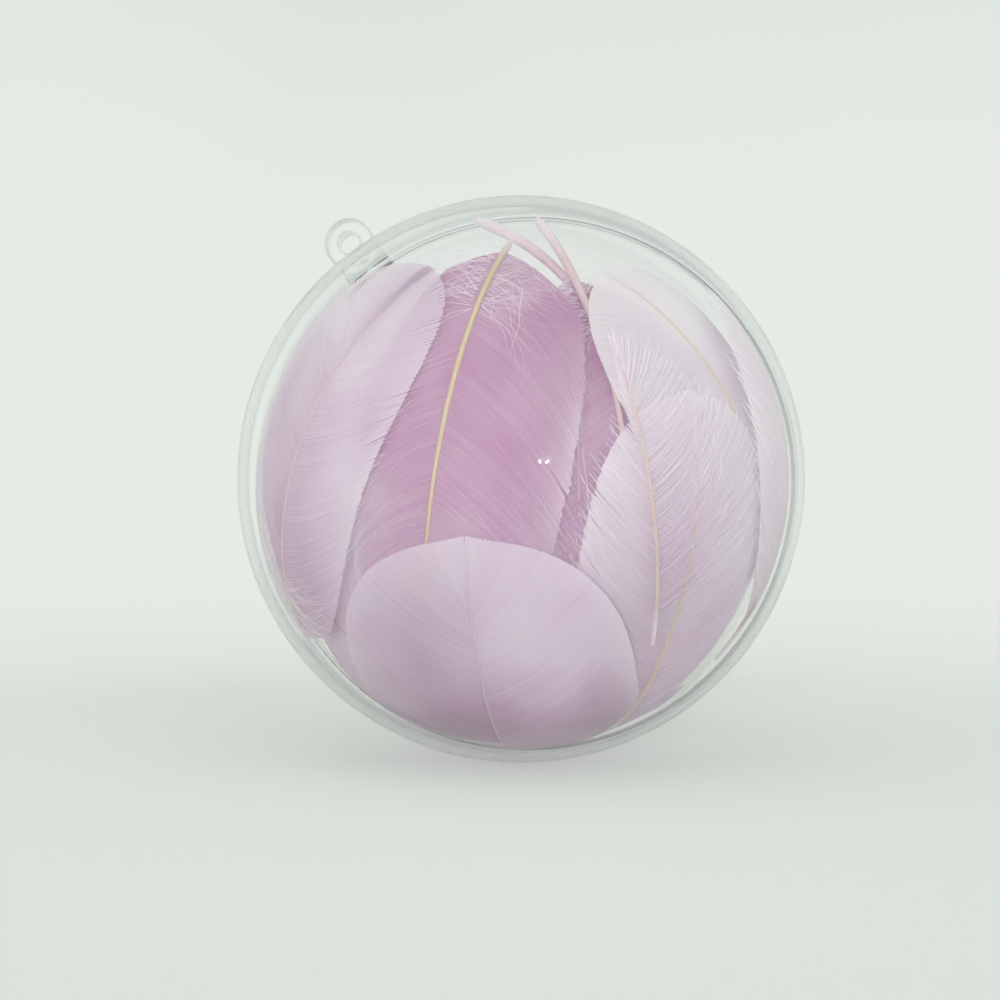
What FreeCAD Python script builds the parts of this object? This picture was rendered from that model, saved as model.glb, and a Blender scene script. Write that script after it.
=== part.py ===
import FreeCAD, Part
import math
import os

import Sketcher

# Two-piece fillable ball ornament.  Millimetres.
# Frame: the origin is the ball's centre, +Z is up, the seam lies in the XZ plane,
# the loose half is at -Y, and the half that keeps the hanging eye and the fill is at +Y.

SIZES = {
    "ball_radius": 50.0,
    "wall": 1.0,
    "seam_gap": 0.1,
    "lip_outer_radius": 48.9,
    "lip_inner_radius": 48.05,
    "lip_length": 2.0,
    "lip_root_height": 2.6,
    "eye_lean": 36.0,
    "eye_radius": 55.5,
    "tab_width": 9.2,
    "tab_thickness": 1.5,
    "tab_hole_radius": 2.1,
    "tab_edge_round": 0.5,
    "vane_thickness": 0.35,
    "layer_outer": 47.2,
    "layer_outer_but_one": 45.7,
    "layer_third": 44.2,
    "layer_fourth": 42.7,
    "layer_inner_but_one": 41.2,
    "quill_tip_radius": 0.25,
}

# Feathers lie against the inside of the ball.  Each row holds the name, the layer, the
# azimuth (0 is the front, 90 is +X) and elevation of the vane's middle, the heading of
# the tip (0 is up, 90 is towards rising azimuth), half the vane's length as an angle at
# the ball's centre, half its width in mm, the bare length of quill as an angle, and the
# radius of the quill's root in mm.
FEATHERS = [
    ("centre", "outer_but_one", -6, 3, 190, 43, 15.0, 5, 0.7),
    ("top_left", "inner_but_one", 33, 6, 169, 36, 14.0, 34, 0.72),
    ("top", "fourth", 29, 2, 173, 40, 16.0, 24, 0.75),
    ("right_upper", "third", 59, 10, 329, 40, 18.0, 10, 0.7),
    ("right", "outer", 31, -4, 348, 26, 11.0, 6, 0.7),
    ("right_low", "outer_but_one", 44, -22, 357, 34, 13.0, 8, 0.7),
    ("right_side", "outer", 84, 4, 350, 38, 14.5, 10, 0.7),
    ("left", "outer", -37, 2, 27, 42, 15.5, 10, 0.7),
    ("left_side", "outer_but_one", -86, -2, 8, 40, 17.0, 10, 0.7),
    ("lower_left", "third", -40, -38, 318, 38, 18.0, 8, 0.7),
    ("lower_front", "outer", -1, -50, 359, 35, 18.0, 8, 0.7),
    ("lower_right", "inner_but_one", 66, -44, 26, 32, 16.0, 8, 0.7),
    ("bottom", "fourth", 10, -84, 80, 36, 17.0, 8, 0.7),
    ("back_centre", "outer", 178, 2, 184, 42, 17.0, 10, 0.7),
    ("back_left", "third", -132, -2, 190, 42, 17.0, 12, 0.7),
    ("back_right", "outer_but_one", 132, -4, 6, 42, 17.5, 12, 0.7),
    ("back_upper", "fourth", 172, 30, 70, 38, 16.0, 10, 0.7),
    ("back_lower", "fourth", 176, -34, 282, 36, 17.0, 10, 0.7),
]
LAYERS = ("outer", "outer_but_one", "third", "fourth", "inner_but_one")

QUILL_SECTIONS = 9
QUILL_TIP_SHARE = 0.86  # how far along its vane a quill reaches


def make_sheet(doc):
    """The one table that every size is read from."""
    sheet = doc.addObject("Spreadsheet::Sheet", "Sizes")
    values = dict(SIZES)
    for name, _, _, _, _, half_angle, half_width, bare_angle, root_radius in FEATHERS:
        values[name + "_half_angle"] = half_angle
        values[name + "_half_width"] = half_width
        values[name + "_bare_angle"] = bare_angle
        values[name + "_root_radius"] = root_radius
    for row, (name, value) in enumerate(values.items(), start=1):
        sheet.set(f"A{row}", name)
        sheet.set(f"B{row}", str(value))
        sheet.setAlias(f"B{row}", name)
    doc.recompute()
    return sheet


def make_body(doc, label):
    """An empty body whose label is the node's name."""
    body = doc.addObject("PartDesign::Body", "Body")
    body.Label = label
    doc.recompute()
    return body


def origin_plane(body, role):
    """The body's own origin plane with this role."""
    return next(f for f in body.Origin.OriginFeatures if f.Role == role)


def make_sketch(body, role, name):
    """A sketch on one of the body's origin planes."""
    sketch = body.newObject("Sketcher::SketchObject", name)
    sketch.AttachmentSupport = [(origin_plane(body, role), "")]
    sketch.MapMode = "FlatFace"
    return sketch


def measure(sketch, kind, expression, value, *places):
    """One named size in a sketch, read from the sheet."""
    index = sketch.addConstraint(Sketcher.Constraint(kind, *places, value))
    sketch.setExpression(f"Constraints[{index}]", expression)


def on_circle(radius, angle):
    """A point of the sketch plane on a circle about the origin."""
    return FreeCAD.Vector(radius * math.cos(angle), radius * math.sin(angle), 0)


def add_arc(sketch, radius, start, end, expression):
    """An arc about the sketch's origin whose radius is read from the sheet."""
    circle = Part.Circle(FreeCAD.Vector(), FreeCAD.Vector(0, 0, 1), radius)
    arc = sketch.addGeometry(Part.ArcOfCircle(circle, start, end), False)
    sketch.addConstraint(Sketcher.Constraint("Coincident", arc, 3, -1, 1))
    measure(sketch, "Radius", expression, radius, arc)
    return arc


def add_lines(sketch, points):
    """Straight edges through the points, joined end to end."""
    lines = []
    for start, end in zip(points, points[1:]):
        line = sketch.addGeometry(Part.LineSegment(start, end), False)
        if lines:
            sketch.addConstraint(Sketcher.Constraint("Coincident", lines[-1], 2, line, 1))
        lines.append(line)
    return lines


def join(sketch, first, first_end, second, second_end):
    sketch.addConstraint(Sketcher.Constraint("Coincident", first, first_end, second, second_end))


def revolve_about_y(doc, body, sketch):
    """A full turn of the sketch about the body's Y axis."""
    turn = body.newObject("PartDesign::Revolution", "Turn")
    turn.Profile = sketch
    turn.ReferenceAxis = (sketch, ["V_Axis"])
    turn.Angle = 360.0
    doc.recompute()
    return turn


def back_half_shell(doc):
    """The half that stays put: a hemisphere with a thin lip that enters the other half."""
    outer, inner = SIZES["ball_radius"], SIZES["ball_radius"] - SIZES["wall"]
    root = math.asin(SIZES["lip_root_height"] / inner)
    lip_out, lip_in, reach = SIZES["lip_outer_radius"], SIZES["lip_inner_radius"], SIZES["lip_length"]
    body = make_body(doc, "back_half_shell")
    sketch = make_sketch(body, "XY_Plane", "Profile")
    outside = add_arc(sketch, outer, 0, math.pi / 2, "Sizes.ball_radius")
    inside = add_arc(sketch, inner, root, math.pi / 2, "Sizes.ball_radius - Sizes.wall")
    pole = add_lines(sketch, [FreeCAD.Vector(0, outer, 0), FreeCAD.Vector(0, inner, 0)])[0]
    slope, face, tip, side, rim = add_lines(
        sketch,
        [
            on_circle(inner, root),
            FreeCAD.Vector(lip_in, 0.8, 0),
            FreeCAD.Vector(lip_in, -reach, 0),
            FreeCAD.Vector(lip_out, -reach, 0),
            FreeCAD.Vector(lip_out, 0, 0),
            FreeCAD.Vector(outer, 0, 0),
        ],
    )
    join(sketch, outside, 2, pole, 1)
    join(sketch, pole, 2, inside, 2)
    join(sketch, inside, 1, slope, 1)
    join(sketch, rim, 2, outside, 1)
    sketch.addConstraint(Sketcher.Constraint("PointOnObject", pole, 1, -2))
    sketch.addConstraint(Sketcher.Constraint("PointOnObject", pole, 2, -2))
    sketch.addConstraint(Sketcher.Constraint("PointOnObject", outside, 1, -1))
    for line in (face, side):
        sketch.addConstraint(Sketcher.Constraint("Vertical", line))
    for line in (tip, rim):
        sketch.addConstraint(Sketcher.Constraint("Horizontal", line))
    measure(sketch, "DistanceX", "Sizes.lip_inner_radius", lip_in, -1, 1, face, 1)
    measure(sketch, "DistanceX", "Sizes.lip_outer_radius", lip_out, -1, 1, side, 1)
    measure(sketch, "DistanceY", "Sizes.lip_length", reach, tip, 1, -1, 1)
    measure(sketch, "DistanceY", "Sizes.lip_root_height", SIZES["lip_root_height"], -1, 1, slope, 1)
    measure(sketch, "DistanceY", "Sizes.lip_length * 0.4", reach * 0.4, -1, 1, face, 1)
    revolve_about_y(doc, body, sketch)
    return body


def front_half_shell(doc):
    """The half that pulls off: a plain hemisphere that stops just short of the seam."""
    outer, inner = SIZES["ball_radius"], SIZES["ball_radius"] - SIZES["wall"]
    gap = SIZES["seam_gap"]
    body = make_body(doc, "front_half_shell")
    sketch = make_sketch(body, "XY_Plane", "Profile")
    outside = add_arc(sketch, outer, -math.pi / 2, -math.asin(gap / outer), "Sizes.ball_radius")
    inside = add_arc(
        sketch, inner, -math.pi / 2, -math.asin(gap / inner), "Sizes.ball_radius - Sizes.wall"
    )
    pole = add_lines(sketch, [FreeCAD.Vector(0, -inner, 0), FreeCAD.Vector(0, -outer, 0)])[0]
    rim = add_lines(sketch, [FreeCAD.Vector(outer, -gap, 0), FreeCAD.Vector(inner, -gap, 0)])[0]
    join(sketch, pole, 2, outside, 1)
    join(sketch, outside, 2, rim, 1)
    join(sketch, rim, 2, inside, 2)
    join(sketch, inside, 1, pole, 1)
    sketch.addConstraint(Sketcher.Constraint("PointOnObject", pole, 1, -2))
    sketch.addConstraint(Sketcher.Constraint("PointOnObject", pole, 2, -2))
    sketch.addConstraint(Sketcher.Constraint("Horizontal", rim))
    measure(sketch, "DistanceY", "Sizes.seam_gap", gap, rim, 1, -1, 1)
    revolve_about_y(doc, body, sketch)
    return body


def eye_tab(doc, label, near_face, side):
    """One moulded layer of the hanging eye.  near_face is its distance from the seam plane,
    and side is +1 behind the seam and -1 in front of it."""
    half = SIZES["tab_width"] / 2
    top = SIZES["eye_radius"]
    foot = SIZES["ball_radius"] - 2.0
    body = make_body(doc, label + "_blank")
    sketch = make_sketch(body, "XZ_Plane", "Outline")
    ring = Part.Circle(FreeCAD.Vector(0, top, 0), FreeCAD.Vector(0, 0, 1), half)
    crown = sketch.addGeometry(Part.ArcOfCircle(ring, 0, math.pi), False)
    sides = add_lines(
        sketch,
        [
            FreeCAD.Vector(-half, top, 0),
            FreeCAD.Vector(-half, foot, 0),
            FreeCAD.Vector(half, foot, 0),
            FreeCAD.Vector(half, top, 0),
        ],
    )
    hole = sketch.addGeometry(
        Part.Circle(FreeCAD.Vector(0, top, 0), FreeCAD.Vector(0, 0, 1), SIZES["tab_hole_radius"]),
        False,
    )
    sketch.addConstraint(Sketcher.Constraint("Tangent", crown, 2, sides[0], 1))
    sketch.addConstraint(Sketcher.Constraint("Tangent", sides[2], 2, crown, 1))
    sketch.addConstraint(Sketcher.Constraint("Horizontal", sides[1]))
    sketch.addConstraint(Sketcher.Constraint("Vertical", sides[0]))
    sketch.addConstraint(Sketcher.Constraint("PointOnObject", crown, 3, -2))
    join(sketch, hole, 3, crown, 3)
    measure(sketch, "Radius", "Sizes.tab_width / 2", half, crown)
    measure(sketch, "Radius", "Sizes.tab_hole_radius", SIZES["tab_hole_radius"], hole)
    measure(sketch, "DistanceY", "Sizes.eye_radius", top, -1, 1, crown, 3)
    measure(sketch, "DistanceY", "Sizes.ball_radius - 2", foot, -1, 1, sides[1], 1)
    pad = body.newObject("PartDesign::Pad", "Plate")
    pad.Profile = sketch
    pad.setExpression("Length", "Sizes.tab_thickness")
    pad.Reversed = side > 0
    doc.recompute()
    far = side * SIZES["tab_thickness"]
    rims = []
    for number, edge in enumerate(pad.Shape.Edges, start=1):
        box = edge.BoundBox
        on_far_face = abs(box.YMin - far) < 1e-4 and abs(box.YMax - far) < 1e-4
        if on_far_face and box.ZMin > foot + 1e-3 or on_far_face and box.ZLength > 5:
            rims.append(f"Edge{number}")
    edge_round = body.newObject("PartDesign::Fillet", "EdgeRound")
    edge_round.Base = (pad, rims)
    edge_round.setExpression("Radius", "Sizes.tab_edge_round")
    doc.recompute()
    ball = doc.addObject("Part::Sphere", "BallOutside")
    ball.setExpression("Radius", "Sizes.ball_radius")
    body.Placement = FreeCAD.Placement(
        FreeCAD.Vector(0, near_face, 0),
        FreeCAD.Rotation(FreeCAD.Vector(0, 1, 0), -SIZES["eye_lean"]),
    )
    tab = doc.addObject("Part::Cut", "EyeTab")
    tab.Base = body
    tab.Tool = ball
    tab.Label = label
    doc.recompute()
    return tab


def layer_shell(doc, layer):
    """A hollow sphere as thick as a vane, which the vanes of one layer are cut from."""
    outer = doc.addObject("Part::Sphere", "LayerOutside")
    outer.setExpression("Radius", f"Sizes.layer_{layer} + Sizes.vane_thickness / 2")
    inner = doc.addObject("Part::Sphere", "LayerInside")
    inner.setExpression("Radius", f"Sizes.layer_{layer} - Sizes.vane_thickness / 2")
    shell = doc.addObject("Part::Cut", "LayerShell")
    shell.Base = outer
    shell.Tool = inner
    doc.recompute()
    return shell


def lie_at(azimuth, elevation, heading):
    """The placement that lays a feather made about +Z, with its tip towards +X, on the ball."""
    turn, rise, way = (math.radians(a) for a in (azimuth, elevation, heading))
    outward = FreeCAD.Vector(
        math.sin(turn) * math.cos(rise), -math.cos(turn) * math.cos(rise), math.sin(rise)
    )
    up = FreeCAD.Vector(
        -math.sin(turn) * math.sin(rise), math.cos(turn) * math.sin(rise), math.cos(rise)
    )
    across = FreeCAD.Vector(math.cos(turn), math.sin(turn), 0)
    ahead = up * math.cos(way) + across * math.sin(way)
    return FreeCAD.Placement(
        FreeCAD.Vector(), FreeCAD.Rotation(ahead, outward.cross(ahead), outward, "ZXY")
    )


def feather_vane(doc, name, layer, shell, placement):
    """A long oval of the layer's shell."""
    outline = doc.addObject("Part::Ellipse", "VaneOutline")
    outline.setExpression(
        "MajorRadius", f"Sizes.layer_{layer} * sin(Sizes.{name}_half_angle)"
    )
    outline.setExpression("MinorRadius", f"Sizes.{name}_half_width")
    cutter = doc.addObject("Part::Extrusion", "VaneCutter")
    cutter.Base = outline
    cutter.DirMode = "Custom"
    cutter.Dir = FreeCAD.Vector(0, 0, 1)
    cutter.setExpression("LengthFwd", "Sizes.ball_radius")
    cutter.Solid = True
    doc.recompute()
    vane = doc.addObject("Part::Common", "Vane")
    vane.Base = shell
    vane.Tool = cutter
    vane.Label = name + "_feather_vane"
    doc.recompute()
    vane.Placement = placement
    return vane


def feather_quill(doc, name, layer, placement):
    """A tapering rod bent along the middle of the vane, with its thick end bare."""
    sections = []
    for number in range(QUILL_SECTIONS):
        share = number / (QUILL_SECTIONS - 1)
        begin = f"(0 - Sizes.{name}_half_angle - Sizes.{name}_bare_angle)"
        end = f"(Sizes.{name}_half_angle * {QUILL_TIP_SHARE})"
        angle = f"({begin} * {1 - share:.4f} + {end} * {share:.4f})"
        section = doc.addObject("Part::Circle", "QuillSection")
        section.setExpression(
            "Radius",
            f"Sizes.{name}_root_radius * {1 - share:.4f} + Sizes.quill_tip_radius * {share:.4f}",
        )
        section.Placement = FreeCAD.Placement(
            FreeCAD.Vector(), FreeCAD.Rotation(FreeCAD.Vector(0, 1, 0), 90)
        )
        section.setExpression("Placement.Base.x", f"Sizes.layer_{layer} * sin({angle})")
        section.setExpression("Placement.Base.z", f"Sizes.layer_{layer} * cos({angle})")
        section.setExpression("Placement.Rotation.Angle", f"90 + {angle}")
        sections.append(section)
    doc.recompute()
    quill = doc.addObject("Part::Loft", "Quill")
    quill.Sections = sections
    quill.Solid = True
    quill.Ruled = True
    quill.Label = name + "_feather_quill"
    doc.recompute()
    quill.Placement = placement
    return quill


def write_nodes(doc, nodes):
    """Every node is checked, then written as a STEP file of its own."""
    doc.recompute()
    for thing in doc.Objects:
        if "Invalid" in thing.State or "Error" in thing.State:
            raise RuntimeError(f"{thing.Name} ({thing.Label}) did not build: {thing.State}")
    os.makedirs("parts", exist_ok=True)
    for node in nodes:
        shape = node.Shape
        if shape.isNull() or not shape.isValid() or len(shape.Solids) != 1:
            raise RuntimeError(f"{node.Label} is not one sound solid")
        shape.exportStep(os.path.join("parts", node.Label + ".step"))
        print(f"{node.Label}: {shape.Volume:.1f} mm3")


doc = FreeCAD.newDocument("BallOrnament")
make_sheet(doc)
nodes = [
    back_half_shell(doc),
    front_half_shell(doc),
    eye_tab(doc, "back_eye_tab", 0.0, 1),
    eye_tab(doc, "front_eye_tab", -SIZES["seam_gap"], -1),
]
shells = {layer: layer_shell(doc, layer) for layer in LAYERS}
for name, layer, azimuth, elevation, heading, _, _, _, _ in FEATHERS:
    placement = lie_at(azimuth, elevation, heading)
    nodes.append(feather_vane(doc, name, layer, shells[layer], placement))
    nodes.append(feather_quill(doc, name, layer, placement))
write_nodes(doc, nodes)
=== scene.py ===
import math
from typing import NamedTuple

import bpy
import numpy as np
from bpy.props import FloatProperty, FloatVectorProperty, IntProperty, PointerProperty
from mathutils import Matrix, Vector


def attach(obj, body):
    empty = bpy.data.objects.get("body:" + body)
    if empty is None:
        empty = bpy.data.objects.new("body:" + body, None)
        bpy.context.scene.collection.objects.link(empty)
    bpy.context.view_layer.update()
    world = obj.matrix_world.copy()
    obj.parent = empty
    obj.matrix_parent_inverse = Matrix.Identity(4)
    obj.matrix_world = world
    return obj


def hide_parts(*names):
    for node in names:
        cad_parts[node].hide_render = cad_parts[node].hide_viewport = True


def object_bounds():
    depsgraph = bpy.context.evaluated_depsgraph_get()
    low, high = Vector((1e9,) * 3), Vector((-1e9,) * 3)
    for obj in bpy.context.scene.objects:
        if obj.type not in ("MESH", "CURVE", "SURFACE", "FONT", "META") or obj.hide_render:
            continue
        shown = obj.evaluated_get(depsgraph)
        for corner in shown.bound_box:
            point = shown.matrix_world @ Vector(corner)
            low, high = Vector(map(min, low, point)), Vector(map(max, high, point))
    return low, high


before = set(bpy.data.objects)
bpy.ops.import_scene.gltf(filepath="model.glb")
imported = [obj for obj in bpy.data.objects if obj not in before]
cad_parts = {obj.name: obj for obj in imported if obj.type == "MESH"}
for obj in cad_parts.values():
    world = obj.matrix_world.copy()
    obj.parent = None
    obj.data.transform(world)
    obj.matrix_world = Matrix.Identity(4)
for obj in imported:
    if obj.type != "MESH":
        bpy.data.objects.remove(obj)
CAD_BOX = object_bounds()

bl_info = {
    "name": "Feather Ball",
    "version": (1, 0, 0),
    "blender": (4, 5, 0),
    "location": "3D View > Sidebar > Feather Ball",
    "description": "Builds a clear two-part ball with a hanging eye and a fill of feathers",
    "category": "Object",
}

MM = 0.001


class Dress(NamedTuple):
    """How one feather is dressed."""

    loose: float  # how far its barbs come apart, 0 to 1
    # pale also holds painted light: feathers lying in shade are set paler to offset it.
    pale: float  # 0 is pink, 1 lilac, 2 white
    down: int  # wisps of down at its foot
    curl: float  # how far its edges bend towards the middle of the ball, in millimetres
    spread: tuple  # times as wide as the frame says on its right and left, with its tip up
    stem: float  # radius of its quill at the root, in millimetres
    horn: float  # how tan its quill is, 0 to 1


# Partly painted light: right_upper, lower_front and lower_left are set paler than their dye alone,
# to offset the shade they lie in.
DRESSES = {
    "centre": Dress(0.12, 0.12, 110, 0.5, (0.85, 1.25), 0.56, 1.0),
    "top_left": Dress(0.3, 0.6, 40, 0.3, (1.1, 1.1), 0.95, 0.1),
    "top": Dress(0.1, 0.3, 80, 0.4, (1.2, 1.2), 0.85, 0.3),
    "right_upper": Dress(0.05, 1.45, 0, 0.6, (1.1, 1.1), 0.34, 1.0),
    "right": Dress(1.0, 0.8, 0, 0.1, (1.3, 0.12), 0.34, 0.5),
    "right_low": Dress(0.2, 1.0, 0, 0.3, (1.5, 1.4), 0.3, 0.9),
    "right_side": Dress(0.15, 1.1, 20, 0.3, (1.2, 1.35), 0.4, 0.6),
    "left": Dress(0.12, 0.75, 110, 0.3, (0.95, 1.2), 0.24, 0.35),
    "left_side": Dress(0.2, 1.0, 40, 0.3, (1.2, 1.2), 0.4, 0.3),
    "lower_left": Dress(0.1, 0.8, 0, 0.3, (1.5, 1.5), 0.4, 0.2),
    "lower_front": Dress(0.0, 0.65, 0, 0.3, (1.25, 1.25), 0.24, 0.0),
    "lower_right": Dress(0.1, 1.1, 0, 0.3, (1.5, 1.5), 0.4, 0.3),
    "bottom": Dress(0.2, 0.3, 20, 0.4, (1.2, 1.2), 0.4, 0.2),
    "back_centre": Dress(0.3, 0.5, 50, 0.4, (1.2, 1.2), 0.5, 0.9),
    "back_left": Dress(0.3, 0.7, 50, 0.4, (1.2, 1.2), 0.5, 0.6),
    "back_right": Dress(0.3, 0.6, 50, 0.4, (1.2, 1.2), 0.5, 0.8),
    "back_upper": Dress(0.3, 0.4, 40, 0.4, (1.2, 1.2), 0.6, 0.4),
    "back_lower": Dress(0.3, 0.4, 20, 0.4, (1.2, 1.2), 0.5, 0.6),
}

# How far from the ball's centre feathers may lie without meeting the lip.
WALL_REACH = 47.9 * MM

# Two bare roots press up against the clear wall: where they end, in millimetres, and the
# share of the quill, from its root, that is bent to get there.
RAISED_ROOTS = {"top_left": (-3.9, -22.5, 40.9), "top": (6.1, -23.2, 40.2)}
RAISED_SHARE = 0.4

# Radius of every quill at its tip, in millimetres.
TIP_STEM = 0.14

# How barbs lean from the quill at their root and at their end, in degrees, and how they lean
# at the very tip of the vane, which they swing round to from SWING_START of its length on.
BARB_LEAN = (64, 24)
TIP_LEAN = (2, 0)
SWING_START = 0.7

# A barb may reach this many times half the vane's width, and has taken its last lean at
# BEND_END of that.  Its end is looked for in this many steps.
BARB_REACH = 2.6
BEND_END = 0.7
REACH_STEPS = 80

# The shortest that a barb may be, and the widest that its strip may be.
SHORTEST_BARB = 1.2 * MM
WIDEST_BARB = 1.5 * MM

# How pale down is: whiter than most barbs.
DOWN_TONE = 2.2

# Flats round the eye and its hole, and steps along the section of each clear half.
EYE_STEPS = 96
SECTION_STEPS = 72

# How far the camera's view is shifted across and up, as a share of its width.
FRAME_SHIFT = (-0.021, -0.021)

# Half the step between the two edges of a barb's strip, which tilts it like a roof tile.
BARB_TILT = 0.02 * MM


# ---------------------------------------------------------------- sizes and colours


class ClearHalvesSettings(bpy.types.PropertyGroup):
    """Sizes and colours of the two clear halves."""

    radius: FloatProperty(
        name="Ball radius", description="Outside radius of the ball", default=0.05, unit="LENGTH"
    )
    wall: FloatProperty(
        name="Wall", description="Thickness of the clear wall", default=0.001, unit="LENGTH"
    )
    seam_gap: FloatProperty(
        name="Seam gap", description="Gap between the halves", default=0.0001, unit="LENGTH"
    )
    lip_outer: FloatProperty(
        name="Lip outside", description="Outside radius of the lip", default=0.0489, unit="LENGTH"
    )
    lip_inner: FloatProperty(
        name="Lip inside", description="Inside radius of the lip", default=0.04805, unit="LENGTH"
    )
    lip_length: FloatProperty(
        name="Lip length", description="How far the lip enters", default=0.002, unit="LENGTH"
    )
    turns: IntProperty(
        name="Steps round", description="Flats round the ball", default=192, min=24
    )
    eye_lean: FloatProperty(
        name="Eye lean",
        description="How far the hanging eye leans from upright",
        default=math.radians(36.0),
        subtype="ANGLE",
    )
    eye_distance: FloatProperty(
        name="Eye distance", description="Ball centre to eye hole", default=0.0555, unit="LENGTH"
    )
    eye_radius: FloatProperty(
        name="Eye radius", description="Outside radius of the eye", default=0.0046, unit="LENGTH"
    )
    hole_radius: FloatProperty(
        name="Hole radius", description="Radius of the eye's hole", default=0.0021, unit="LENGTH"
    )
    eye_thickness: FloatProperty(
        name="Eye thickness", description="Thickness of one layer", default=0.0015, unit="LENGTH"
    )
    edge_round: FloatProperty(
        name="Edge round", description="Rounding of the eye's edges", default=0.0005, unit="LENGTH"
    )
    tint: FloatVectorProperty(
        name="Tint", description="Colour of the plastic face on", subtype="COLOR",
        default=(0.995, 1.0, 0.998), size=3,
    )
    edge_tint: FloatVectorProperty(
        name="Edge tint", description="Colour of the plastic seen edge on", subtype="COLOR",
        default=(0.985, 0.995, 0.99), size=3,
    )
    # Painted shade: a grey painted on the eye's rounded edges, standing in for how they bend the
    # light.
    eye_edge_shade: FloatVectorProperty(
        name="Eye edge", description="Colour of the hanging eye seen edge on", subtype="COLOR",
        default=(0.45, 0.52, 0.5), size=3,
    )
    # This colour also paints shade: a dark line along the ball's rim, besides the dull line along
    # the seam.
    outline: FloatVectorProperty(
        name="Outline", description="Colour of the seam and of the very rim", subtype="COLOR",
        default=(0.42, 0.5, 0.6), size=3,
    )


class FeatherSettings(bpy.types.PropertyGroup):
    """Sizes and colours of the feathers."""

    barbs: IntProperty(
        name="Barbs", description="Barbs on each side of a feather", default=340, min=20
    )
    barb_steps: IntProperty(
        name="Barb steps", description="Faces along one barb", default=9, min=3
    )
    barb_width: FloatProperty(
        name="Barb width", description="Width of a barb at its root", default=0.00036,
        unit="LENGTH",
    )
    pink: FloatVectorProperty(
        name="Pink", description="Colour where the dye is deepest", subtype="COLOR",
        default=(0.63, 0.38, 0.56), size=3,
    )
    lilac: FloatVectorProperty(
        name="Lilac", description="Colour where the dye is palest", subtype="COLOR",
        default=(0.86, 0.76, 0.85), size=3,
    )
    # Besides down and undyed barbs, white is reached by the painted highlight along vane edges and
    # by feathers set paler as painted light.
    white: FloatVectorProperty(
        name="White", description="Colour of the down and of undyed barbs", subtype="COLOR",
        default=(0.95, 0.93, 0.95), size=3,
    )
    quill_tan: FloatVectorProperty(
        name="Quill", description="Colour of the quills", subtype="COLOR",
        default=(0.78, 0.66, 0.46), size=3,
    )
    quill_mauve: FloatVectorProperty(
        name="Dyed quill", description="Colour of the quills that took the dye", subtype="COLOR",
        default=(0.80, 0.63, 0.75), size=3,
    )
    quill_pink: FloatVectorProperty(
        name="Quill root", description="Colour of the bare roots", subtype="COLOR",
        default=(0.95, 0.87, 0.92), size=3,
    )
    seed: IntProperty(name="Seed", description="Another seed, another fall of barbs", default=7)


class StageSettings(bpy.types.PropertyGroup):
    """The floor, the lights and the camera."""

    floor_colour: FloatVectorProperty(
        name="Floor", description="Colour of the floor", subtype="COLOR",
        default=(0.68, 0.70, 0.675), size=3,
    )
    air_low: FloatVectorProperty(
        name="Low air", description="Colour of the light near the horizon", subtype="COLOR",
        default=(0.79, 0.83, 0.79), size=3,
    )
    air_high: FloatVectorProperty(
        name="High air", description="Colour of the light overhead", subtype="COLOR",
        default=(0.7, 0.75, 0.71), size=3,
    )
    camera_distance: FloatProperty(
        name="Camera distance", description="Ball centre to camera", default=0.2, unit="LENGTH"
    )
    lens: FloatProperty(
        name="Lens", description="Focal length", default=39.6, subtype="DISTANCE_CAMERA"
    )
    camera_turn: FloatProperty(
        name="Camera turn", description="Angle from the front", default=math.radians(8.4),
        subtype="ANGLE",
    )
    camera_rise: FloatProperty(
        name="Camera rise", description="Angle above level", default=math.radians(-4.4),
        subtype="ANGLE",
    )


# ---------------------------------------------------------------- materials


class Number:
    """An output socket that Python's own operators work on."""

    def __init__(self, tree, socket):
        self.tree, self.socket = tree, socket

    def _sum(self, operation, first, second=None):
        node = self.tree.nodes.new("ShaderNodeMath")
        node.operation = operation
        for place, value in enumerate((first, second)):
            if isinstance(value, Number):
                self.tree.links.new(value.socket, node.inputs[place])
            elif value is not None:
                node.inputs[place].default_value = value
        return Number(self.tree, node.outputs[0])

    def __add__(self, other):
        return self._sum("ADD", self, other)

    def __radd__(self, other):
        return self._sum("ADD", other, self)

    def __sub__(self, other):
        return self._sum("SUBTRACT", self, other)

    def __rsub__(self, other):
        return self._sum("SUBTRACT", other, self)

    def __mul__(self, other):
        return self._sum("MULTIPLY", self, other)

    def __rmul__(self, other):
        return self._sum("MULTIPLY", other, self)

    def __truediv__(self, other):
        return self._sum("DIVIDE", self, other)

    def __pow__(self, other):
        return self._sum("POWER", self, other)

    def size(self):
        """The value without its sign."""
        return self._sum("ABSOLUTE", self)

    def clamp(self, low=0.0, high=1.0):
        return self._sum("MAXIMUM", self._sum("MINIMUM", self, high), low)


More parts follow.
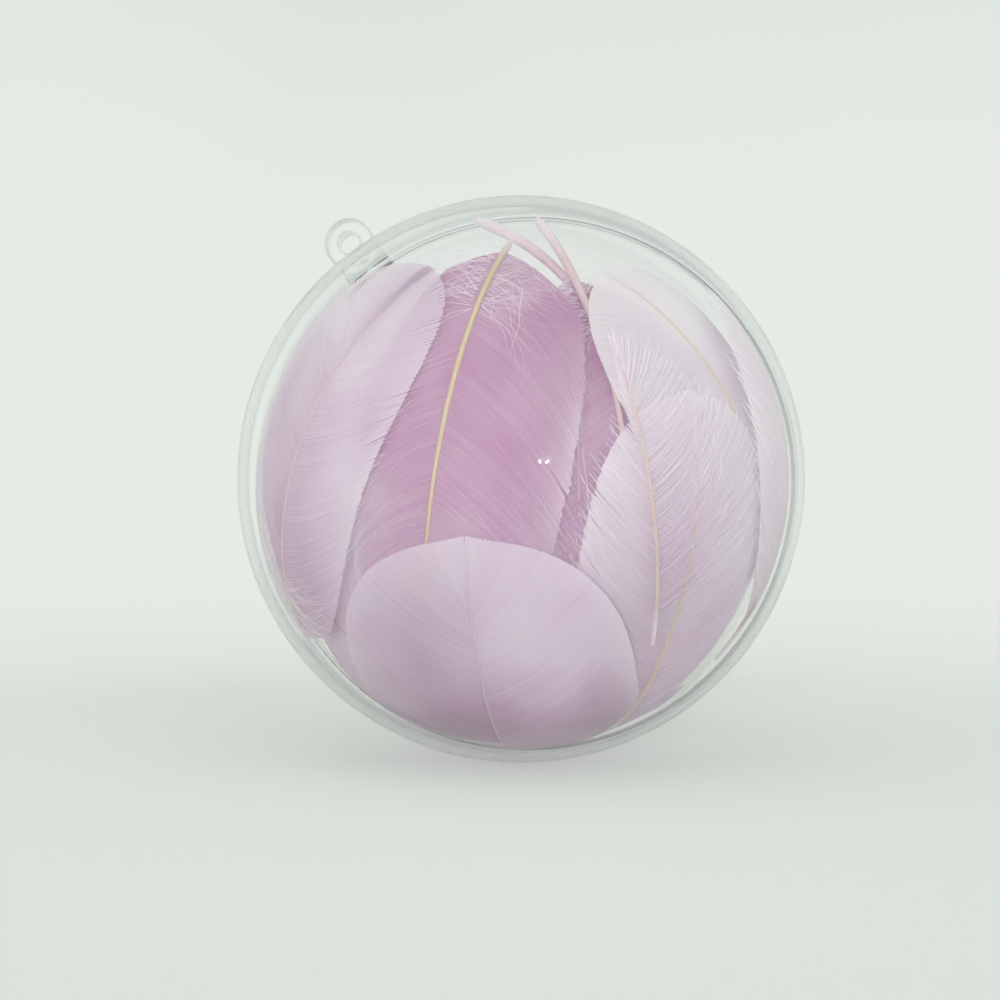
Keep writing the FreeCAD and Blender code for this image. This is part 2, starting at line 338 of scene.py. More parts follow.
class Finish:
    """A material, or the world, being put together."""

    def __init__(self, owner, end="ShaderNodeOutputMaterial"):
        self.owner = owner
        owner.use_nodes = True
        self.tree = owner.node_tree
        self.tree.nodes.clear()
        self.out = self.tree.nodes.new(end)

    def node(self, kind, settings=None, inputs=None, output=0):
        """A node with its settings made first, then its sockets filled."""
        node = self.tree.nodes.new(kind)
        for key, value in (settings or {}).items():
            setattr(node, key, value)
        for key, value in (inputs or {}).items():
            self.fill(node.inputs[key], value)
        return Number(self.tree, node.outputs[output])

    def fill(self, socket, value):
        """Links a socket, or sets its constant."""
        if isinstance(value, Number):
            self.tree.links.new(value.socket, socket)
        elif socket.type == "RGBA" and len(value) == 3:
            socket.default_value = (*value, 1.0)
        else:
            socket.default_value = value

    def mix(self, share, first, second):
        """A colour between two colours."""
        return self.node(
            "ShaderNodeMix", {"data_type": "RGBA"}, {0: share, 6: first, 7: second}, output=2
        )

    def noise(self, scale, detail, place=None):
        """Soft patches, by default over the piece's own coordinates."""
        inputs = {"Scale": scale, "Detail": detail, "Vector": place or self.place()}
        return self.node("ShaderNodeTexNoise", {}, inputs)

    def place(self):
        """The piece's own coordinates, in metres."""
        return self.node("ShaderNodeTexCoord", {}, {}, output="Object")

    def shows(self, shader):
        """Puts the finished shader on show and gives the owner back."""
        self.tree.links.new(shader.socket, self.out.inputs["Surface"])
        return self.owner


def clear_plastic(settings):
    """Clear moulded plastic: tinted edge on, with a broken dull line along the seam, painted shade
    along the rim and on the eye's rounded edges.
    """
    finish = Finish(bpy.data.materials.new("clear_plastic"))
    spot = finish.place()
    edge = finish.node("ShaderNodeLayerWeight", {}, {"Blend": 0.5}, output="Facing")
    reach = finish.node("ShaderNodeVectorMath", {"operation": "LENGTH"}, {0: spot}, output=1)
    depth = finish.node("ShaderNodeSeparateXYZ", {}, {0: spot}, output=1)
    on_eye = ((reach - settings.radius - 0.0002) * 4000.0).clamp()
    patches = finish.noise(140.0, 3.0)
    seam = (1.0 - depth.size() / 0.00035).clamp() * ((patches - 0.5) * 9.0).clamp()
    lean = settings.eye_lean
    eye = (-math.sin(lean) * settings.eye_distance, 0.0, math.cos(lean) * settings.eye_distance)
    spread = finish.node("ShaderNodeVectorMath", {"operation": "SUBTRACT"}, {0: spot, 1: eye})
    spread = finish.node(
        "ShaderNodeVectorMath", {"operation": "MULTIPLY"}, {0: spread, 1: (1.0, 0.0, 1.0)}
    )
    spread = finish.node("ShaderNodeVectorMath", {"operation": "LENGTH"}, {0: spread}, output=1)
    outside = ((spread - settings.eye_radius + settings.edge_round) * 4000.0).clamp()
    inside = ((settings.hole_radius + settings.edge_round * 0.7 - spread) * 4000.0).clamp()
    tint = finish.mix((edge ** 3.0).clamp(), tuple(settings.tint), tuple(settings.edge_tint))
    # Painted shade: the eye's rounded edges, outside and round the hole, are painted grey.
    tint = finish.mix(on_eye * (outside + inside) * 0.2, tint, tuple(settings.eye_edge_shade))
    # Painted shade: a dark blue-grey line painted wherever the wall is seen edge on, as along the
    # ball's rim.
    tint = finish.mix((edge ** 16.0).clamp() * 0.6, tint, tuple(settings.outline))
    tint = finish.mix(seam * (1.0 - on_eye) * 0.3, tint, tuple(settings.outline))
    ripple = finish.noise(60.0, 1.0)
    marks = finish.noise(900.0, 3.0)
    bump = finish.node(
        "ShaderNodeBump", {}, {"Strength": 0.06, "Distance": 0.0004, "Height": ripple}
    )
    glass = finish.node(
        "ShaderNodeBsdfPrincipled",
        {},
        {
            "Base Color": tint,
            "Roughness": (marks * 0.04).clamp(0.0, 0.04),
            "IOR": 1.36,
            "Transmission Weight": 1.0,
            "Normal": bump,
        },
    )
    open_way = finish.node("ShaderNodeBsdfTransparent", {}, {"Color": (0.97, 0.98, 0.975)})
    shadow = finish.node("ShaderNodeLightPath", {}, {}, output="Is Shadow Ray")
    return finish.shows(finish.node("ShaderNodeMixShader", {}, {0: shadow, 1: glass, 2: open_way}))


def barb_finish(settings):
    """Dyed barbs: soft, and thin enough to glow with the light behind them."""
    finish = Finish(bpy.data.materials.new("dyed_barbs"))
    tone = finish.node("ShaderNodeAttribute", {"attribute_name": "tone"}, {}, output="Fac")
    along = finish.node("ShaderNodeAttribute", {"attribute_name": "along"}, {}, output="Fac")
    patches = finish.noise(60.0, 2.0)
    strands = finish.noise(2600.0, 2.0)
    paleness = tone + (patches - 0.5) * 1.0 + (strands - 0.5) * 0.2 + along * 0.1
    colour = finish.mix(paleness.clamp(), tuple(settings.pink), tuple(settings.lilac))
    colour = finish.mix((paleness - 1.0).clamp(), colour, tuple(settings.white))
    face = finish.node(
        "ShaderNodeBsdfPrincipled",
        {},
        {
            "Base Color": colour,
            "Roughness": (0.5 + strands * 0.2).clamp(),
            "Sheen Weight": 0.2,
            "Sheen Roughness": 0.4,
            "Specular IOR Level": 0.3,
        },
    )
    glow = finish.node("ShaderNodeBsdfTranslucent", {}, {"Color": colour})
    lit = finish.node("ShaderNodeMixShader", {}, {0: 0.5, 1: face, 2: glow})
    gap = finish.node("ShaderNodeBsdfTransparent", {}, {"Color": (1.0, 1.0, 1.0)})
    return finish.shows(finish.node("ShaderNodeMixShader", {}, {0: 0.25, 1: lit, 2: gap}))


def quill_finish(settings):
    """Horn-like quills: tan or dyed along the vane, pink and half clear at the bare root."""
    finish = Finish(bpy.data.materials.new("quill_horn"))
    along = finish.node("ShaderNodeAttribute", {"attribute_name": "along"}, {}, output="Fac")
    horn = finish.node("ShaderNodeAttribute", {"attribute_name": "horn"}, {}, output="Fac")
    grain = finish.noise(500.0, 3.0)
    stem = finish.mix(
        (horn + (grain - 0.5) * 0.4).clamp(),
        tuple(settings.quill_mauve),
        tuple(settings.quill_tan),
    )
    share = ((along + horn * 0.14 - 0.16) * 12.0 + (grain - 0.5) * 0.8).clamp()
    colour = finish.mix(share, tuple(settings.quill_pink), stem)
    face = finish.node(
        "ShaderNodeBsdfPrincipled",
        {},
        {
            "Base Color": colour,
            "Roughness": (0.3 + grain * 0.2).clamp(),
            "Specular IOR Level": 0.5,
        },
    )
    glow = finish.node("ShaderNodeBsdfTranslucent", {}, {"Color": colour})
    clear = (0.6 - share * 0.3).clamp()
    return finish.shows(finish.node("ShaderNodeMixShader", {}, {0: clear, 1: face, 2: glow}))


def floor_finish(settings):
    """A pale matt floor that fades into the air far away."""
    finish = Finish(bpy.data.materials.new("pale_floor"))
    spot = finish.place()
    reach = finish.node("ShaderNodeVectorMath", {"operation": "LENGTH"}, {0: spot}, output=1)
    cloud = finish.noise(6.0, 2.0)
    colour = finish.mix(
        cloud, tuple(c * 0.97 for c in settings.floor_colour), tuple(settings.floor_colour)
    )
    fade = 1.0 - ((reach.clamp(0.01, 9.0) ** -1.0 - 0.6) / 6.0).clamp() * 0.6
    matt = finish.node("ShaderNodeBsdfDiffuse", {}, {"Color": colour, "Roughness": 0.8})
    away = finish.node("ShaderNodeBsdfTransparent", {}, {"Color": (1.0, 1.0, 1.0)})
    return finish.shows(finish.node("ShaderNodeMixShader", {}, {0: fade, 1: matt, 2: away}))


# ---------------------------------------------------------------- modelling helpers


def start_clean():
    """Nothing selected and nothing in edit mode."""
    if bpy.context.mode != "OBJECT":
        bpy.ops.object.mode_set(mode="OBJECT")
    bpy.ops.object.select_all(action="DESELECT")


def settle(piece):
    """The piece's own place, turn and size go into its mesh."""
    start_clean()
    piece.select_set(True)
    bpy.context.view_layer.objects.active = piece
    bpy.ops.object.transform_apply(location=True, rotation=True, scale=True)


def hand_over(piece, name, material, body, nodes):
    """The finished piece takes its name, its finish, and the place of the CAD nodes."""
    piece.name = name
    piece.data.name = name
    piece.data.materials.clear()
    piece.data.materials.append(material)
    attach(piece, body)
    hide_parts(*nodes)


def turned_profile(points, turns):
    """A closed shape turned about the Y axis from a line drawn one stretch at a time."""
    start_clean()
    bpy.ops.mesh.primitive_plane_add(size=0.001, location=(0, 0, 0))
    piece = bpy.context.object
    bpy.ops.object.mode_set(mode="EDIT")
    bpy.ops.mesh.select_all(action="SELECT")
    bpy.ops.mesh.merge(type="CENTER")
    bpy.ops.transform.translate(value=(points[0][0], points[0][1], 0))
    for (x0, y0), (x1, y1) in zip(points, points[1:]):
        bpy.ops.mesh.extrude_region_move(
            TRANSFORM_OT_translate={"value": (x1 - x0, y1 - y0, 0)}
        )
    bpy.ops.mesh.select_all(action="SELECT")
    bpy.ops.mesh.spin(
        steps=turns, angle=2 * math.pi, center=(0, 0, 0), axis=(0, 1, 0), use_normal_flip=False
    )
    bpy.ops.mesh.select_all(action="SELECT")
    bpy.ops.mesh.remove_doubles(threshold=2e-6)
    bpy.ops.mesh.normals_make_consistent(inside=False)
    bpy.ops.object.mode_set(mode="OBJECT")
    return piece


def arc(radius, start, end, count):
    """Points of the profile along an arc about the ball's centre, by angle above the seam."""
    steps = [start + (end - start) * i / (count - 1) for i in range(count)]
    return [(radius * math.cos(a), radius * math.sin(a)) for a in steps]


# ---------------------------------------------------------------- the clear halves


def eye_plate(settings, near, far):
    """One layer of the hanging eye between two distances from the seam plane."""
    start_clean()
    radius, hole, top = settings.eye_radius, settings.hole_radius, settings.eye_distance
    foot = settings.radius - settings.wall * 0.5
    flat = (math.pi / 2, 0, 0)
    bpy.ops.mesh.primitive_circle_add(
        vertices=EYE_STEPS, radius=radius, location=(0, 0, top), rotation=flat
    )
    piece = bpy.context.object
    bpy.ops.object.mode_set(mode="EDIT")
    bpy.ops.mesh.select_all(action="DESELECT")
    bpy.ops.object.mode_set(mode="OBJECT")
    for vertex in piece.data.vertices:
        vertex.select = (piece.matrix_world @ vertex.co).z < top - 1e-6
    bpy.ops.object.mode_set(mode="EDIT")
    bpy.ops.transform.resize(
        value=(1, 1, 0), center_override=(0, 0, top), orient_type="GLOBAL"
    )
    bpy.ops.transform.translate(value=(0, 0, foot - top))
    bpy.ops.mesh.primitive_circle_add(
        vertices=EYE_STEPS, radius=hole, location=(0, 0, top), rotation=flat
    )
    bpy.ops.mesh.select_all(action="SELECT")
    bpy.ops.mesh.bridge_edge_loops()
    bpy.ops.object.mode_set(mode="OBJECT")
    settle(piece)
    solid = piece.modifiers.new("Plate", "SOLIDIFY")
    solid.thickness = abs(far - near)
    solid.offset = 0.0
    bpy.ops.object.modifier_apply(modifier=solid.name)
    rounding = piece.modifiers.new("Edges", "BEVEL")
    rounding.width = settings.edge_round
    rounding.segments = 5
    rounding.limit_method = "ANGLE"
    rounding.angle_limit = math.radians(50)
    bpy.ops.object.modifier_apply(modifier=rounding.name)
    piece.location = (0, (near + far) / 2, 0)
    settle(piece)
    piece.rotation_euler = (0, -settings.eye_lean, 0)
    settle(piece)
    return piece


def join_plate(shell, plate):
    """The eye becomes one with its half of the ball."""
    start_clean()
    shell.select_set(True)
    bpy.context.view_layer.objects.active = shell
    union = shell.modifiers.new("Eye", "BOOLEAN")
    union.operation = "UNION"
    union.solver = "EXACT"
    union.object = plate
    bpy.ops.object.modifier_apply(modifier=union.name)
    bpy.data.objects.remove(plate)
    start_clean()
    shell.select_set(True)
    bpy.context.view_layer.objects.active = shell
    bpy.ops.object.shade_smooth_by_angle(angle=math.radians(28))
    flats = shell.modifiers.new("Flats", "WEIGHTED_NORMAL")
    flats.keep_sharp = True
    bpy.ops.object.modifier_apply(modifier=flats.name)


class FEATHERBALL_OT_clear_halves(bpy.types.Operator):
    """Turns the two thin clear halves, the lip between them and their hanging eye"""

    bl_idname = "featherball.clear_halves"
    bl_label = "Clear halves"

    def execute(self, context):
        settings = context.scene.clear_halves
        material = clear_plastic(settings)
        outer, inner, gap = settings.radius, settings.radius - settings.wall, settings.seam_gap
        quarter = math.pi / 2
        root = math.asin(0.0026 / inner)
        back = turned_profile(
            arc(outer, quarter, 0, SECTION_STEPS)
            + [
                (settings.lip_outer, 0),
                (settings.lip_outer, -settings.lip_length * 0.9),
                (settings.lip_outer - 0.0002, -settings.lip_length),
                (settings.lip_inner + 0.0002, -settings.lip_length),
                (settings.lip_inner, -settings.lip_length * 0.9),
                (settings.lip_inner, settings.lip_length * 0.4),
            ]
            + arc(inner, root, quarter, SECTION_STEPS),
            settings.turns,
        )
        join_plate(back, eye_plate(settings, 0.0, settings.eye_thickness))
        front = turned_profile(
            arc(outer, -quarter, -math.asin(gap / outer), SECTION_STEPS)
            + arc(inner, -math.asin(gap / inner), -quarter, SECTION_STEPS),
            settings.turns,
        )
        join_plate(front, eye_plate(settings, -gap, -gap - settings.eye_thickness))
        hand_over(
            back, "back_half_clear", material, "back_half",
            ("back_half_shell", "back_eye_tab"),
        )
        hand_over(
            front, "front_half_clear", material, "front_half",
            ("front_half_shell", "front_eye_tab"),
        )
        return {"FINISHED"}


# ---------------------------------------------------------------- the feathers


class Lay:
    """Where the frame says a feather lies, read from its quill and its vane."""

    def __init__(self, name):
        quill = self._points(name + "_feather_quill")
        vane = self._points(name + "_feather_vane")
        self.radius = float(np.linalg.norm(vane, axis=1).mean())
        side = np.linalg.svd(quill, full_matrices=False)[2][2]
        middle = vane.mean(axis=0)
        middle = middle - side * (middle @ side)
        middle = middle / np.linalg.norm(middle)
        ahead = np.cross(side, middle)
        spread = np.degrees(np.arctan2(vane @ ahead, vane @ middle))
        reach = np.degrees(np.arctan2(quill @ ahead, quill @ middle))
        if spread.min() - reach.min() < reach.max() - spread.max():
            ahead, side = -ahead, -side
            spread, reach = -spread, -reach
        shift = math.radians((spread.min() + spread.max()) / 2)
        self.outward = middle * math.cos(shift) + ahead * math.sin(shift)
        self.ahead = ahead * math.cos(shift) - middle * math.sin(shift)
        self.side = np.cross(self.ahead, self.outward)
        self.half_angle = math.radians((spread.max() - spread.min()) / 2)
        self.root_angle = math.radians(reach.min()) - shift
        self.tip_angle = math.radians(reach.max()) - shift
        self.half_width = float(np.abs(vane @ side).max())

    def _points(self, node):
        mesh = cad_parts[node].data
        flat = np.empty(len(mesh.vertices) * 3)
        mesh.vertices.foreach_get("co", flat)
        return flat.reshape(-1, 3)

    def at(self, along, across, lift):
        """Points from metres along, across and above the vane, pressed to the wall low down."""
        turn, roll = along / self.radius, across / self.radius
        level = np.cos(turn)[..., None] * self.outward + np.sin(turn)[..., None] * self.ahead
        way = np.cos(roll)[..., None] * level + np.sin(roll)[..., None] * self.side
        settled = smooth_step((-way[..., 2] - 0.5) / 0.35) * (WALL_REACH - self.radius) * 0.8
        return (self.radius + settled + lift)[..., None] * way


def smooth_step(value):
    value = np.clip(value, 0.0, 1.0)
    return value * value * (3 - 2 * value)


class VaneMesh:
    """The strips of one vane, gathered before they become a mesh."""

    def __init__(self):
        self.points, self.faces, self.along, self.tone = [], [], [], []
        self.count = 0

    def add(self, lay, along, across, width, lift, tilt, tone):
        """Strips whose middles run through along and across, one row each."""
        step_a, step_c = np.gradient(along, axis=1), np.gradient(across, axis=1)
        length = np.maximum(np.hypot(step_a, step_c), 1e-9)
        push_a, push_c = -step_c / length * width / 2, step_a / length * width / 2
        left = lay.at(along + push_a, across + push_c, lift + tilt)
        right = lay.at(along - push_a, across - push_c, lift - tilt)
        rows, steps = along.shape
        self.points.append(np.stack([left, right], axis=2).reshape(-1, 3))
        share = np.repeat(np.linspace(0, 1, steps)[None, :], rows, axis=0)
        self.along.append(np.repeat(share.reshape(-1), 2))
        self.tone.append(np.repeat(np.broadcast_to(tone, along.shape).reshape(-1), 2))
        first = self.count + (np.arange(rows)[:, None] * steps + np.arange(steps - 1)[None, :]) * 2
        first = first.reshape(-1)
        self.faces.append(np.stack([first, first + 1, first + 3, first + 2], axis=1))
        self.count += rows * steps * 2

    def build(self, name):
        points, faces = np.concatenate(self.points), np.concatenate(self.faces)
        a, b, c = (points[faces[:, corner]] for corner in (0, 1, 2))
        inwards = np.einsum("ij,ij->i", np.cross(b - a, c - a), a) < 0
        faces[inwards] = faces[inwards, ::-1]
        mesh = bpy.data.meshes.new(name)
        mesh.from_pydata(points.tolist(), [], faces.tolist())
        for key, values in (("along", self.along), ("tone", self.tone)):
            layer = mesh.attributes.new(key, "FLOAT", "POINT")
            layer.data.foreach_set("value", np.concatenate(values).astype(np.float32))
        mesh.polygons.foreach_set("use_smooth", [True] * len(mesh.polygons))
        mesh.update()
        piece = bpy.data.objects.new(name, mesh)
        bpy.context.scene.collection.objects.link(piece)
        return piece


def barb_groups(rng, count, splits):
    """A group number for each barb: barbs of a group cling together."""
    cuts = np.sort(rng.integers(2, count - 2, splits))
    return np.searchsorted(cuts, np.arange(count))


def outline_share(lay, width, along, across):
    """Over 1 where a place lies outside the vane's rounded outline."""
    ahead = np.clip(along / (lay.half_angle * lay.radius), -1, 1)
    roundness = np.where(ahead > 0, 2.8, 2.4)
    return np.abs(ahead) ** roundness + np.abs(across / width) ** 2.3


def walk(root, lean, stride):
    """Where barbs run from the quill, leaning by lean at every step of one stride."""
    nothing = np.zeros((len(root), 1))
    along = np.concatenate([nothing, np.cumsum(np.cos(lean[:, :-1]) * stride, axis=1)], axis=1)
    across = np.concatenate([nothing, np.cumsum(np.sin(lean[:, :-1]) * stride, axis=1)], axis=1)
    return root[:, None] + along, across


def reach_outline(shares):
    """The share of its row's length at which each row first leaves the outline."""
    rows = np.arange(len(shares))
    shares[:, -1] = 2.0
    past = np.maximum(np.argmax(shares > 1, axis=1), 1)
    before, after = shares[rows, past - 1], shares[rows, past]
    return (past - 1 + (1 - before) / (after - before)) / (shares.shape[1] - 1)


def spacing(along, across):
    """How far each barb lies from the next, square to its run."""
    run_a, run_c = np.gradient(along, axis=1), np.gradient(across, axis=1)
    next_a, next_c = np.gradient(along, axis=0), np.gradient(across, axis=0)
    return np.abs(next_a * run_c - next_c * run_a) / np.maximum(np.hypot(run_a, run_c), 1e-9)


def grow_side(lay, vane, dress, rng, settings, side, fringe=False):
    """The barbs along one side of a quill, or the thin stray ones that soften its edge."""
    loose = dress.loose
    half_width = lay.half_width * dress.spread[0 if side > 0 else 1]
    count, steps = int(settings.barbs * (1 - 0.75 * loose ** 2)), settings.barb_steps + 1
    if fringe:
        count //= 4
    place = 1 - (1 - (np.arange(count) + rng.uniform(0.1, 0.9, count)) / count) ** 1.5
    foot, end = -lay.half_angle * lay.radius, lay.tip_angle * lay.radius
    root = foot + (end - foot) * place
    splits = 1 + int(12 * loose)
    group = barb_groups(rng, count, splits)
    fan = rng.normal(0.0, 0.3 + 3.0 * loose, splits + 1)[group]
    if fringe:
        fan = rng.normal(0.0, 5.0, count)
    swing = smooth_step((place - SWING_START) / (1 - SWING_START))
    start = np.radians(BARB_LEAN[0] - (BARB_LEAN[0] - TIP_LEAN[0]) * swing + fan)
    finish = np.radians(BARB_LEAN[1] - (BARB_LEAN[1] - TIP_LEAN[1]) * swing + fan * 1.4)
    reach = half_width * BARB_REACH
    bend = np.minimum(np.linspace(0, 1, REACH_STEPS) / BEND_END, 1)[None, :]
    along, across = walk(
        root, start[:, None] + (finish - start)[:, None] * bend, reach / (REACH_STEPS - 1)
    )
    inside = reach_outline(outline_share(lay, half_width, along, across))
    length = np.maximum(inside * reach, SHORTEST_BARB)
    if fringe:
        length *= 1.03 + np.abs(rng.normal(0, 0.05, count))
    else:
        length *= 1 - np.abs(rng.normal(0, 0.002 + 0.035 * loose, count))
        length *= 1 + rng.normal(0, 0.002 + 0.04 * loose, splits + 1)[group]
    u = np.linspace(0, 1, steps)
    bend = np.minimum(u[None, :] * length[:, None] / reach / BEND_END, 1)
    lean = start[:, None] + (finish - start)[:, None] * bend
    lean += rng.normal(0, 0.01 + 0.07 * loose, count)[:, None] * u[None, :] ** 2
    along, across = walk(root, lean, length[:, None] / (steps - 1))
    across = side * (across + 0.05 * MM)
    size = 0.09 * MM if fringe else settings.barb_width
    width = size * (1 - (0.15 + 0.4 * loose) * u[None, :] ** 1.2)
    width = np.repeat(width, count, axis=0) * (1 + rng.normal(0, 0.06, count))[:, None]
    if not fringe:
        covering = spacing(along, across) * 2 * (1 - loose)
        width = np.clip(covering, width * (1 - 0.45 * loose), WIDEST_BARB)
        width = width * (1 - (0.2 + 0.4 * loose) * u[None, :] ** 8)
    edge = np.abs(across) / half_width
    wave = 0.25 * MM * np.sin(along / (9 * MM) + side) * edge
    lift = -dress.curl * MM * edge ** 2 + wave + (rng.normal(0, 0.02, count) * MM)[:, None]
    # The 0.4 * edge ** 10 term is a painted highlight: a pale rim along the vane's edge. The rest
    # is the dye's own spread.
    tone = dress.pale + rng.normal(0, 0.06, count)[:, None] + 0.1 * edge ** 2 + 0.4 * edge ** 10
    tone = tone + 0.35 * along / (lay.half_angle * lay.radius)
    if fringe:
        lift, tone = lift + 0.12 * MM, tone + 0.4
    vane.add(lay, along, across, width, lift, BARB_TILT, tone)


def grow_down(lay, vane, count, rng):
    """Wisps of down about the foot of the vane."""
    steps = 12
    foot = -lay.half_angle * lay.radius
    root = foot + rng.uniform(-0.03, 0.2, count) * lay.half_angle * 2 * lay.radius
    side = rng.choice([-1, 1], count)
    lean = np.radians(rng.uniform(35, 125, count))[:, None]
    bend = rng.normal(0, 0.5, count)[:, None]
    u = np.linspace(0, 1, steps)[None, :]
    heading = lean + bend * u + 0.35 * np.sin(u * rng.uniform(3, 9, count)[:, None])
    stride = rng.uniform(6, 16, count)[:, None] * MM / (steps - 1)
    along = root[:, None] + np.cumsum(np.cos(heading) * stride, axis=1)
    across = side[:, None] * np.cumsum(np.sin(heading) * stride, axis=1)
    width = 0.11 * MM * (1 - 0.6 * u) * np.ones((count, 1))
    lift = MM * (0.25 + rng.uniform(-0.2, 0.5, count)[:, None] * u)
    vane.add(lay, along, across, width, lift, BARB_TILT / 2, np.full((count, 1), DOWN_TONE))


class FEATHERBALL_OT_vanes(bpy.types.Operator):
    """Grows the soft barbs and the down of every feather"""

    bl_idname = "featherball.vanes"
    bl_label = "Vanes"

    def execute(self, context):
        settings = context.scene.feathers
        material = barb_finish(settings)
        for number, (name, dress) in enumerate(DRESSES.items()):
            rng = np.random.default_rng(settings.seed * 100 + number)
            lay, vane = Lay(name), VaneMesh()
            for side in (1, -1):
                grow_side(lay, vane, dress, rng, settings, side)
                if dress.loose > 0.1:
                    grow_side(lay, vane, dress, rng, settings, side, fringe=True)
            if dress.down:
                grow_down(lay, vane, dress.down, rng)
            piece = vane.build(name + "_vane")
            hand_over(
                piece, name + "_vane", material, "back_half",
                (name + "_feather_vane",),
            )
        return {"FINISHED"}


class FEATHERBALL_OT_quills(bpy.types.Operator):
    """Draws the tapering quill of every feather"""

    bl_idname = "featherball.quills"
    bl_label = "Quills"

    def execute(self, context):
        material = quill_finish(context.scene.feathers)
        for name, dress in DRESSES.items():
            piece = self.quill(Lay(name), name, dress)
            hand_over(
                piece, name + "_quill", material, "back_half",
                (name + "_feather_quill",),
            )
        return {"FINISHED"}

    def quill(self, lay, name, dress):
        """A bent tapering rod with a rounded root, and how far along it each point is."""
        start_clean()
        count = 33
        share = np.linspace(0, 1, count)
        along = (lay.root_angle + (lay.tip_angle - lay.root_angle) * share) * lay.radius
        spots = lay.at(along, np.zeros(count), np.zeros(count))
        if name in RAISED_ROOTS:
            away = np.array(RAISED_ROOTS[name]) * MM - spots[0]
            spots = spots + np.clip(1 - share / RAISED_SHARE, 0, 1)[:, None] ** 2 * away
        line = bpy.data.curves.new(name + "_quill", "CURVE")
        line.dimensions = "3D"
        line.bevel_depth = 1.0
        line.bevel_resolution = 3
        spline = line.splines.new("POLY")
        spline.points.add(count - 1)
        for point, spot, s in zip(spline.points, spots, share):
            point.co = (*spot, 1.0)
            point.radius = MM * (
                TIP_STEM + (dress.stem - TIP_STEM) * (1 - s) ** 0.9
            ) * min(1.0, 0.6 + s * 18)
        piece = bpy.data.objects.new(name + "_quill", line)
        bpy.context.scene.collection.objects.link(piece)
        piece.select_set(True)
        bpy.context.view_layer.objects.active = piece
        bpy.ops.object.convert(target="MESH")
        piece = bpy.context.object
        bpy.ops.object.mode_set(mode="EDIT")
        bpy.ops.mesh.select_all(action="SELECT")
        bpy.ops.mesh.fill_holes(sides=0)
        bpy.ops.mesh.normals_make_consistent(inside=False)
        bpy.ops.object.mode_set(mode="OBJECT")
        bpy.ops.object.shade_smooth_by_angle(angle=math.radians(50))
        mesh = piece.data
        flat = np.empty(len(mesh.vertices) * 3)
        mesh.vertices.foreach_get("co", flat)
        spots = flat.reshape(-1, 3)
        turn = np.arctan2(spots @ lay.ahead, spots @ lay.outward)
        layer = mesh.attributes.new("along", "FLOAT", "POINT")
        reach = (turn - lay.root_angle) / (lay.tip_angle - lay.root_angle)
        layer.data.foreach_set("value", reach.astype(np.float32))
        layer = mesh.attributes.new("horn", "FLOAT", "POINT")
        layer.data.foreach_set("value", [dress.horn] * len(spots))
        return piece


# ---------------------------------------------------------------- floor, light, camera


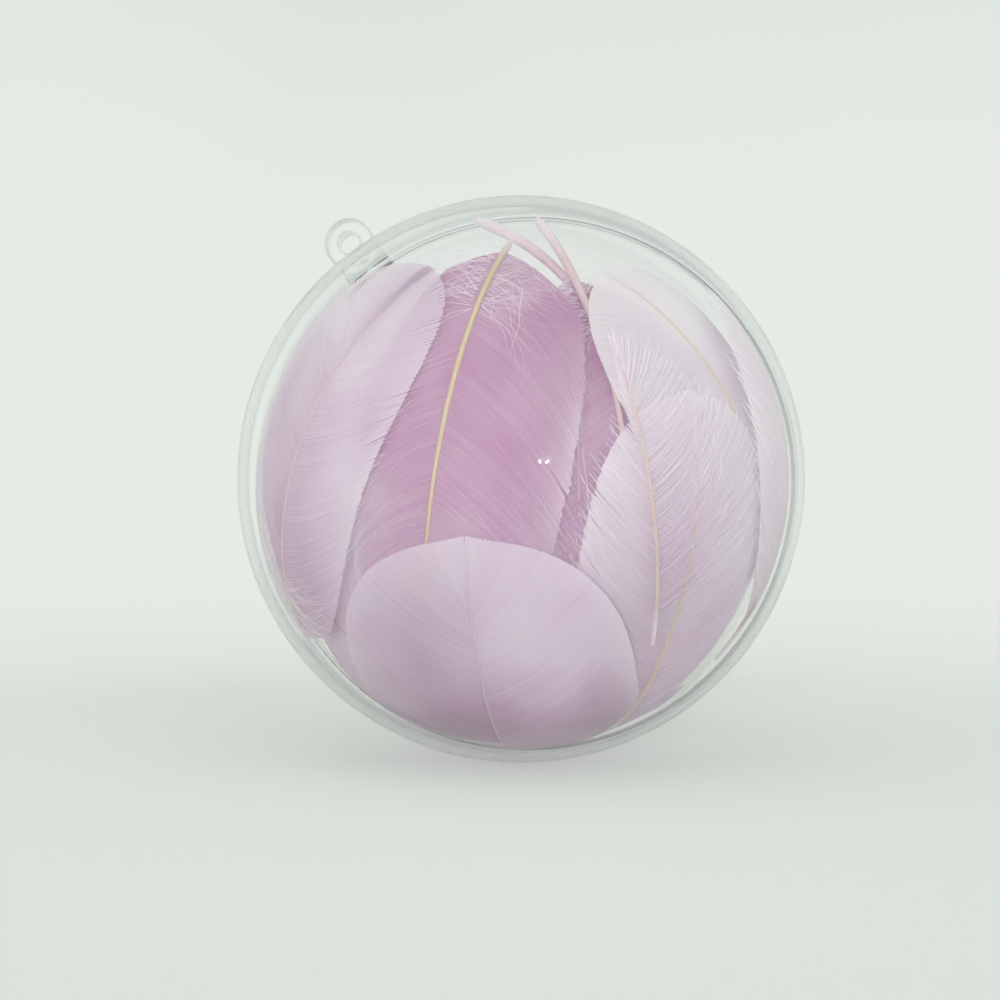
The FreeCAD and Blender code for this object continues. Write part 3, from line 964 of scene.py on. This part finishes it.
class FEATHERBALL_OT_stage(bpy.types.Operator):
    """Puts the camera, a pale floor and soft studio light round the ball"""

    bl_idname = "featherball.stage"
    bl_label = "Stage"

    def execute(self, context):
        settings = context.scene.stage
        self.camera(context, settings)
        start_clean()
        bpy.ops.mesh.primitive_circle_add(
            vertices=96, radius=2.4, fill_type="NGON", location=(0, 0, CAD_BOX[0].z)
        )
        floor = context.object
        settle(floor)
        floor.name = "floor"
        floor.data.materials.append(floor_finish(settings))
        self.air(context, settings)
        self.lamp("key", (-0.55, -0.35, 0.75), 1.4, 1.4, (1.0, 1.0, 0.98))
        self.lamp("fill", (0.6, -0.6, 0.35), 0.8, 1.4, (0.97, 1.0, 1.0))
        self.lamp("front", (-0.05, -0.6, -0.03), 0.3, 1.8, (1.0, 1.0, 1.0))
        for right in (0.021, 0.029):
            self.glint(context.scene.camera, (right, 0.019, 0.0))
        context.scene.view_settings.view_transform = "Standard"
        return {"FINISHED"}

    def camera(self, context, settings):
        """The camera: upright, a little right of the front and low, looking slightly up."""
        turn, rise = settings.camera_turn, settings.camera_rise
        back = Vector(
            (math.sin(turn) * math.cos(rise), -math.cos(turn) * math.cos(rise), math.sin(rise))
        )
        data = bpy.data.cameras.new("camera")
        data.lens = settings.lens
        data.shift_x, data.shift_y = FRAME_SHIFT
        data.clip_start = 0.005
        camera = bpy.data.objects.new("camera", data)
        context.scene.collection.objects.link(camera)
        camera.location = back * settings.camera_distance
        camera.rotation_mode = "QUATERNION"
        camera.rotation_quaternion = (-back).to_track_quat("-Z", "Y")
        context.scene.camera = camera

    def air(self, context, settings):
        """Pale light from all round, brightest near the horizon and faintly uneven."""
        air = Finish(bpy.data.worlds.new("air"), "ShaderNodeOutputWorld")
        way = air.node("ShaderNodeTexCoord", {}, {}, output="Generated")
        height = air.node("ShaderNodeSeparateXYZ", {}, {0: way}, output=2)
        cloud = air.noise(2.2, 2.0, way)
        share = ((height - 0.3) * 3.2 + (cloud - 0.5) * 0.7).clamp()
        colour = air.mix(share, tuple(settings.air_low), tuple(settings.air_high))
        context.scene.world = air.shows(
            air.node("ShaderNodeBackground", {}, {"Color": colour, "Strength": 1.0})
        )

    def glint(self, camera, place):
        """A tiny bright point beside the camera, seen only as a reflection in the wall."""
        at = camera.location + camera.rotation_quaternion @ Vector(place)
        lamp = self.lamp("glint", at, 0.003, 0.02, (1.0, 1.0, 1.0))
        lamp.visible_glossy = True
        lamp.visible_diffuse = False

    def lamp(self, name, place, size, power, colour):
        """A round soft lamp facing the ball, with no reflection of its own."""
        data = bpy.data.lights.new(name, "AREA")
        data.shape = "DISK"
        data.size = size
        data.energy = power
        data.color = colour
        lamp = bpy.data.objects.new(name, data)
        lamp.visible_glossy = False
        lamp.visible_transmission = False
        bpy.context.scene.collection.objects.link(lamp)
        lamp.location = place
        lamp.rotation_mode = "QUATERNION"
        lamp.rotation_quaternion = (-Vector(place)).to_track_quat("-Z", "Y")
        return lamp


# ---------------------------------------------------------------- the sidebar


class FEATHERBALL_PT_panel(bpy.types.Panel):
    """The ball's steps and sizes"""

    bl_idname = "FEATHERBALL_PT_panel"
    bl_label = "Feather Ball"
    bl_space_type = "VIEW_3D"
    bl_region_type = "UI"
    bl_category = "Feather Ball"

    def draw(self, context):
        for step in STEPS:
            self.layout.operator(step.bl_idname)
        for group in ("clear_halves", "feathers", "stage"):
            box = self.layout.box()
            settings = getattr(context.scene, group)
            for key in settings.bl_rna.properties.keys():
                if key not in ("rna_type", "name"):
                    box.prop(settings, key)


SETTINGS = {
    "clear_halves": ClearHalvesSettings,
    "feathers": FeatherSettings,
    "stage": StageSettings,
}
STEPS = (
    FEATHERBALL_OT_stage,
    FEATHERBALL_OT_clear_halves,
    FEATHERBALL_OT_quills,
    FEATHERBALL_OT_vanes,
)


def register():
    for cls in (*SETTINGS.values(), *STEPS, FEATHERBALL_PT_panel):
        bpy.utils.register_class(cls)
    for name, cls in SETTINGS.items():
        setattr(bpy.types.Scene, name, PointerProperty(type=cls))


def unregister():
    for name in SETTINGS:
        delattr(bpy.types.Scene, name)
    for cls in reversed((*SETTINGS.values(), *STEPS, FEATHERBALL_PT_panel)):
        bpy.utils.unregister_class(cls)


def main():
    register()
    for step in STEPS:
        group, name = step.bl_idname.split(".")
        getattr(getattr(bpy.ops, group), name)()


if __name__ == "__main__":
    main()
